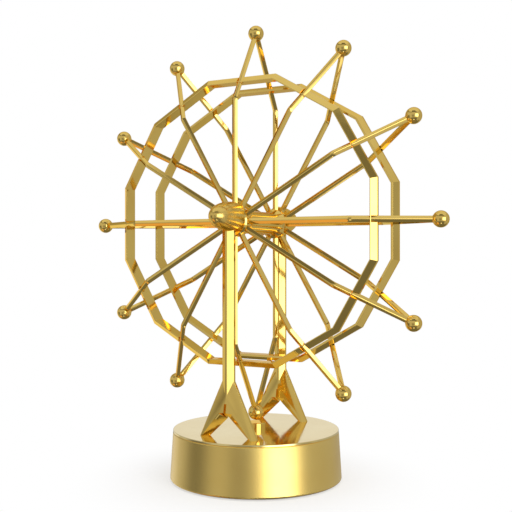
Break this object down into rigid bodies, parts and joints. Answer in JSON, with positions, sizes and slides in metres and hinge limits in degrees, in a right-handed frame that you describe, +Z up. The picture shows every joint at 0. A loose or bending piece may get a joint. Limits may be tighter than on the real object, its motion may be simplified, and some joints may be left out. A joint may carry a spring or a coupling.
{
  "type": "ferris wheel toy",
  "caption": "Desk-top kinetic ferris wheel: a ball-tipped, spoked wheel with polygonal rims turns between forked uprights on a round battery base.",
  "frame": {"origin": "centre of the round base, on the surface that the toy stands on", "axes": "+Z up, +Y along the wheel's axle away from the front, +X to the right as seen from the front"},
  "size_m": [0.1978, 0.0856, 0.227],
  "materials": {
    "gold_plate": "mirror-polished gold electroplate on zinc alloy and steel",
    "satin_gold": "satin gold electroplate on a turned zinc alloy shell",
    "gold_mirror": "flat mirror-polished pale gold electroplate",
    "axle_steel": "ground steel rod",
    "bronze": "sintered bronze",
    "black_abs": "fine-grained moulded ABS",
    "knob_abs": "moulded ABS",
    "rubber": "matte rubber",
    "zinc_screw": "zinc-plated steel",
    "nickel_strip": "nickel-plated spring steel strip",
    "cell_jacket": "plain printed steel jacket",
    "copper_wire": "enamelled copper wire",
    "bobbin_nylon": "natural nylon",
    "board_laminate": "glass-epoxy laminate with solder mask"
  },
  "bodies": {
    "base": {"base_shell": "satin_gold", "top_plate": "gold_mirror", "bottom_cover": "black_abs", "rubber_feet": "rubber", "cover_screws": "zinc_screw", "batteries": "cell_jacket", "battery_contacts": "nickel_strip", "centre_post": "gold_plate", "coil_bobbin": "bobbin_nylon", "coil_winding": "copper_wire", "circuit_board": "board_laminate", "switch_body": "black_abs", "column_front": "gold_plate", "column_back": "gold_plate", "column_screws": "zinc_screw", "bearing_housing_front": "gold_plate", "bearing_housing_back": "gold_plate", "bearing_bushes": "bronze"},
    "wheel": {"axle": "axle_steel", "hub_spool": "gold_plate", "rim_front": "gold_plate", "rim_back": "gold_plate", "front_spoke_01": "gold_plate", "front_spoke_02": "gold_plate", "front_spoke_03": "gold_plate", "front_spoke_04": "gold_plate", "front_spoke_05": "gold_plate", "front_spoke_06": "gold_plate", "front_spoke_07": "gold_plate", "front_spoke_08": "gold_plate", "front_spoke_09": "gold_plate", "front_spoke_10": "gold_plate", "front_spoke_11": "gold_plate", "front_spoke_12": "gold_plate", "back_spoke_01": "gold_plate", "back_spoke_02": "gold_plate", "back_spoke_03": "gold_plate", "back_spoke_04": "gold_plate", "back_spoke_05": "gold_plate", "back_spoke_06": "gold_plate", "back_spoke_07": "gold_plate", "back_spoke_08": "gold_plate", "back_spoke_09": "gold_plate", "back_spoke_10": "gold_plate", "back_spoke_11": "gold_plate", "back_spoke_12": "gold_plate", "ball_01": "gold_plate", "ball_02": "gold_plate", "ball_03": "gold_plate", "ball_04": "gold_plate", "ball_05": "gold_plate", "ball_06": "gold_plate", "ball_07": "gold_plate", "ball_08": "gold_plate", "ball_09": "gold_plate", "ball_10": "gold_plate", "ball_11": "gold_plate", "ball_12": "gold_plate"},
    "battery_door": {"battery_door": "black_abs"},
    "switch_knob": {"switch_knob": "knob_abs"}
  },
  "joints": [
    {"name": "wheel_spin", "type": "hinge", "parent": "base", "child": "wheel", "pos_m": [0, 0, 0.1281], "axis": [0, 1, 0], "continuous": true},
    {"name": "battery_door_hinge", "type": "hinge", "parent": "base", "child": "battery_door", "pos_m": [0, -0.0244, 0.0021], "axis": [-1, 0, 0], "range_deg": [0, 95]},
    {"name": "switch_slide", "type": "slide", "parent": "base", "child": "switch_knob", "axis": [1, 0, 0], "range_m": [0, 0.003]}
  ]
}
